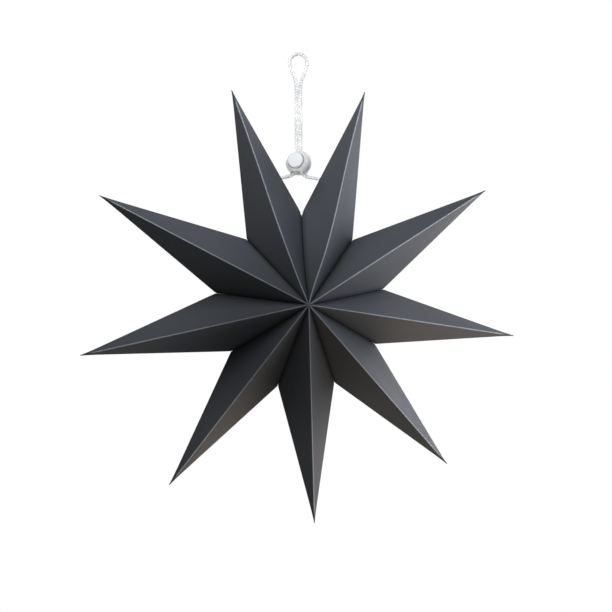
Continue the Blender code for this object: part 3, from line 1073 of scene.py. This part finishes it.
def button_bore(settings, material):
    """The stepped bore that is cut from the ball's front, with a chamfered rim."""
    front = -BALL_RADIUS - CUT_OVERRUN
    rim_depth = -math.sqrt(BALL_RADIUS ** 2 - (HEAD_RADIUS + RUNNING_GAP) ** 2)
    chamfer = settings.rim * 0.6
    shoulder = front + BUTTON_FRONT - HEAD_LENGTH - BUTTON_TRAVEL - RUNNING_GAP
    end = front - bore_end()
    bore_radius = HEAD_RADIUS + RUNNING_GAP
    rim = front - rim_depth
    profile = [
        (0.0, 0.0), (bore_radius + chamfer * 3, 0.0), (bore_radius + chamfer, rim + chamfer * 0.6),
        (bore_radius + chamfer * 0.3, rim - chamfer * 0.4), (bore_radius, rim - chamfer * 1.4),
        (bore_radius, shoulder), (STEM_RADIUS + RUNNING_GAP, shoulder),
        (STEM_RADIUS + RUNNING_GAP, end), (0.0, end),
    ]
    bore = turned("bore", profile, settings.steps - 2, material)
    bore.matrix_world = along_bore(front)
    return bore


def lock_button(settings, cord_diameter, material):
    """The push button, with a domed face, a rounded edge and a window for the strands."""
    face = []
    for index in range(7):
        share = index / 6
        radius = (HEAD_RADIUS - settings.head_edge) * share
        face.append((radius, -settings.head_dome * share ** 2))
    for index in range(1, 9):
        angle = math.pi / 2 * index / 8
        radius = HEAD_RADIUS - settings.head_edge + settings.head_edge * math.sin(angle)
        face.append((radius, -settings.head_dome - settings.head_edge * (1 - math.cos(angle))))
    length = BUTTON_FRONT + cord_reach(cord_diameter) + STEM_WEB
    profile = face + [
        (HEAD_RADIUS, -HEAD_LENGTH), (STEM_RADIUS, -HEAD_LENGTH),
        (STEM_RADIUS, -length), (0.0, -length),
    ]
    button = turned("cord_lock_button", profile, settings.steps, material)
    button.matrix_world = along_bore(-BUTTON_FRONT)
    button = baked(button)
    window_data = bmesh.new()
    width = 2 * (STEM_RADIUS - STEM_SIDE_WALL)
    depth = 2 * cord_reach(cord_diameter) + BUTTON_TRAVEL
    height = 2 * (STEM_RADIUS + CUT_OVERRUN)
    place = lock_place() @ Matrix.Translation((0.0, -BUTTON_TRAVEL / 2, 0.0))
    size = Matrix.Diagonal((width, depth, height, 1.0))
    bmesh.ops.create_cube(window_data, size=1.0, matrix=place @ size)
    window = piece_from_bmesh("window", window_data, material)
    button = cut(button, window)
    button.data.set_sharp_from_angle(angle=SHARP_ANGLE)
    return button


def spring_ends(cord_diameter):
    """Where the spring's front and back lie along the button's bore."""
    return cord_reach(cord_diameter) + STEM_WEB + RUNNING_GAP, bore_end() - RUNNING_GAP


def lock_spring(settings, cord_diameter, material):
    """The coil spring between the button's stem and the end of its bore."""
    front, back = spring_ends(cord_diameter)
    rise = back - front - SPRING_WIRE
    count = round(SPRING_TURNS * settings.steps / 2)
    places = []
    for index in range(count + 1):
        share = index / count
        angle = 2 * math.pi * SPRING_TURNS * share
        places.append((
            SPRING_RADIUS * math.cos(angle), front + SPRING_WIRE / 2 + rise * share,
            SPRING_RADIUS * math.sin(angle)))
    wire = path_curve("cord_lock_spring", places)
    wire.data.bevel_depth = SPRING_WIRE / 2
    wire.data.bevel_resolution = 3
    wire.data.use_fill_caps = True
    wire.data.materials.append(material)
    wire.matrix_world = lock_place()
    return baked(wire)


# Stage

def soft_lamp(distance, right, up, colour):
    """A round area lamp that faces the star."""
    turn, rise = math.radians(right), math.radians(up)
    away = Vector((
        math.sin(turn) * math.cos(rise), -math.cos(turn) * math.cos(rise), math.sin(rise)))
    light = bpy.data.lights.new("soft_lamp", "AREA")
    light.shape = "DISK"
    light.size = LAMP_SIZE * distance ** LAMP_SIZE_POWER
    light.energy = LAMP_POWER * distance ** 2 * max(colour)
    light.color = [channel / max(colour) for channel in colour]
    lamp = bpy.data.objects.new("soft_lamp", light)
    bpy.context.scene.collection.objects.link(lamp)
    lamp.location = STAR_CENTRE + away * distance
    lamp.rotation_mode = "QUATERNION"
    lamp.rotation_quaternion = away.to_track_quat("Z", "Y")
    lamp.visible_camera = False
    return lamp


def lit_pieces(name):
    """The collection of the pieces that one set of lamps lights."""
    return bpy.data.collections.get(name) or bpy.data.collections.new(name)


def pale_floor(settings):
    material = Shader("pale_floor").finish(Base_Color=(0.80, 0.80, 0.80, 1.0), Roughness=0.9)
    mesh_data = bmesh.new()
    bmesh.ops.create_circle(mesh_data, cap_ends=True, segments=96, radius=settings.floor_radius)
    floor = piece_from_bmesh("floor", mesh_data, material)
    floor.location = (0.0, 0.0, -settings.floor_drop)
    lit_pieces("floor").objects.link(floor)


def white_world():
    """Soft grey light from all round, seen by the camera as white."""
    world = bpy.data.worlds.new("studio")
    bpy.context.scene.world = world
    world.use_nodes = True
    tree = NodeTree(world.node_tree)
    soft, white = (
        tree.add("ShaderNodeBackground", None, {"Color": colour, "Strength": strength})
        for colour, strength in (((0.96, 0.98, 1.0, 1.0), 0.05), ((1.0, 1.0, 1.0, 1.0), 1.0)))
    camera, glossy, transmitted = (
        tree.add("ShaderNodeLightPath", output=name)
        for name in ("Is Camera Ray", "Is Glossy Ray", "Is Transmission Ray"))
    seen = camera.maths("MAXIMUM", glossy.maths("MAXIMUM", transmitted))
    mixed = tree.add("ShaderNodeMixShader", None, {"Fac": seen, 1: soft, 2: white})
    tree.feed(tree.nodes["World Output"].inputs["Surface"], mixed)


def photo_camera(settings):
    turn, rise = settings.camera_turn, settings.camera_rise
    back = Vector((
        -math.sin(turn) * math.cos(rise), -math.cos(turn) * math.cos(rise), math.sin(rise)))
    right = Vector((math.cos(turn), -math.sin(turn), 0.0))
    aim = STAR_CENTRE + right * settings.aim_right - Vector((0.0, 0.0, settings.aim_down))
    data = bpy.data.cameras.new("camera")
    data.lens = data.sensor_width * settings.camera_distance / settings.frame_width
    camera = bpy.data.objects.new("camera", data)
    bpy.context.scene.collection.objects.link(camera)
    camera.location = aim + back * settings.camera_distance
    camera.rotation_mode = "QUATERNION"
    camera.rotation_quaternion = back.to_track_quat("Z", "Y")
    bpy.context.scene.camera = camera


# Operators

def dress(piece, body, node, slot, *lit_by):
    """The piece moves with its body, in the place of its node, and these lamps light it too."""
    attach(piece, body)
    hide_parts(node)
    for name in lit_by:
        lit_pieces(name).objects.link(piece)


class STAR_OT_stage(Operator):
    """Makes the camera, lamps, world and floor"""

    bl_idname = "paper_star.stage"
    bl_label = "Stage"

    def execute(self, context):
        settings = context.scene.paper_star_stage
        photo_camera(settings)
        white_world()
        pale_floor(settings)
        for name, lamps in LAMPS.items():
            for place_and_colour in lamps:
                lamp = soft_lamp(*place_and_colour)
                if name:
                    lamp.light_linking.receiver_collection = lit_pieces(name)
        context.scene.view_settings.view_transform = "Standard"
        return {"FINISHED"}


class STAR_OT_cord(Operator):
    """Braids the hanging cord and ties its two end knots"""

    bl_idname = "paper_star.cord"
    bl_label = "Cord"

    def execute(self, context):
        settings = context.scene.paper_star_cord
        material = cord_material(settings)
        places = smooth_route(CORD_ROUTE, settings.diameter)
        cord = braided("braided_cord", places, settings, material)
        dress(cord, "cord", "hanging_cord", "white_cord", "white", "cord")
        for side, (end, before_end) in (
                ("left", CORD_ROUTE[:2]), ("right", CORD_ROUTE[:-3:-1])):
            tied = overhand_knot(end, before_end, settings)
            knot = braided("tied_knot_" + side, tied, settings, material, cyclic=True)
            dress(knot, "cord", "knot_" + side, "white_cord", "white", "cord")
        return {"FINISHED"}


class STAR_OT_points(Operator):
    """Folds the hollow paper points"""

    bl_idname = "paper_star.points"
    bl_label = "Paper points"

    def execute(self, context):
        settings = context.scene.paper_star_paper
        cord_diameter = context.scene.paper_star_cord.diameter
        material = paper_material(settings)
        for number in range(1, POINT_COUNT + 1):
            piece = paper_point(settings, number, cord_diameter, material)
            node = "point_" + str(number)
            dress(piece, node, node, "charcoal_paper", "paper")
            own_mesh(piece)
        return {"FINISHED"}


class STAR_OT_lock(Operator):
    """Moulds the ball cord lock and its button, and winds the spring"""

    bl_idname = "paper_star.lock"
    bl_label = "Cord lock"

    def execute(self, context):
        settings = context.scene.paper_star_lock
        cord_diameter = context.scene.paper_star_cord.diameter
        material = plastic_material(settings)
        ball = lock_ball(settings, material)
        ball.data.set_sharp_from_angle(angle=SHARP_ANGLE)
        dress(ball, "cord_lock", "lock_body", "white_plastic", "white")
        button = lock_button(settings, cord_diameter, material)
        dress(button, "lock_button", "lock_button", "white_plastic", "white")
        spring = lock_spring(settings, cord_diameter, steel_material())
        dress(spring, "cord_lock", "lock_spring", "spring_steel")
        front, back = spring_ends(cord_diameter)
        (back - front - BUTTON_TRAVEL) / (back - front)
        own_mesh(spring)
        return {"FINISHED"}


class STAR_PT_panel(Panel):
    """Lists the star's steps and settings"""

    bl_label = "Paper Star"
    bl_idname = "STAR_PT_panel"
    bl_space_type = "VIEW_3D"
    bl_region_type = "UI"
    bl_category = SIDEBAR_TAB

    def draw(self, context):
        for operator in OPERATORS:
            self.layout.operator(operator.bl_idname)
        for name in SETTINGS:
            group = getattr(context.scene, name)
            box = self.layout.box()
            for key in group.bl_rna.properties.keys():
                if key not in ("rna_type", "name"):
                    box.prop(group, key)


SETTINGS = {
    "paper_star_paper": PaperSettings,
    "paper_star_cord": CordSettings,
    "paper_star_lock": LockSettings,
    "paper_star_stage": StageSettings,
}
OPERATORS = (STAR_OT_stage, STAR_OT_cord, STAR_OT_points, STAR_OT_lock)
CLASSES = (*SETTINGS.values(), *OPERATORS, STAR_PT_panel)


def register():
    for item in CLASSES:
        bpy.utils.register_class(item)
    for name, group in SETTINGS.items():
        setattr(bpy.types.Scene, name, PointerProperty(type=group))


def unregister():
    for name in SETTINGS:
        delattr(bpy.types.Scene, name)
    for item in reversed(CLASSES):
        bpy.utils.unregister_class(item)


def main():
    register()
    bpy.ops.paper_star.stage()
    bpy.ops.paper_star.cord()
    bpy.ops.paper_star.points()
    bpy.ops.paper_star.lock()


if __name__ == "__main__":
    main()
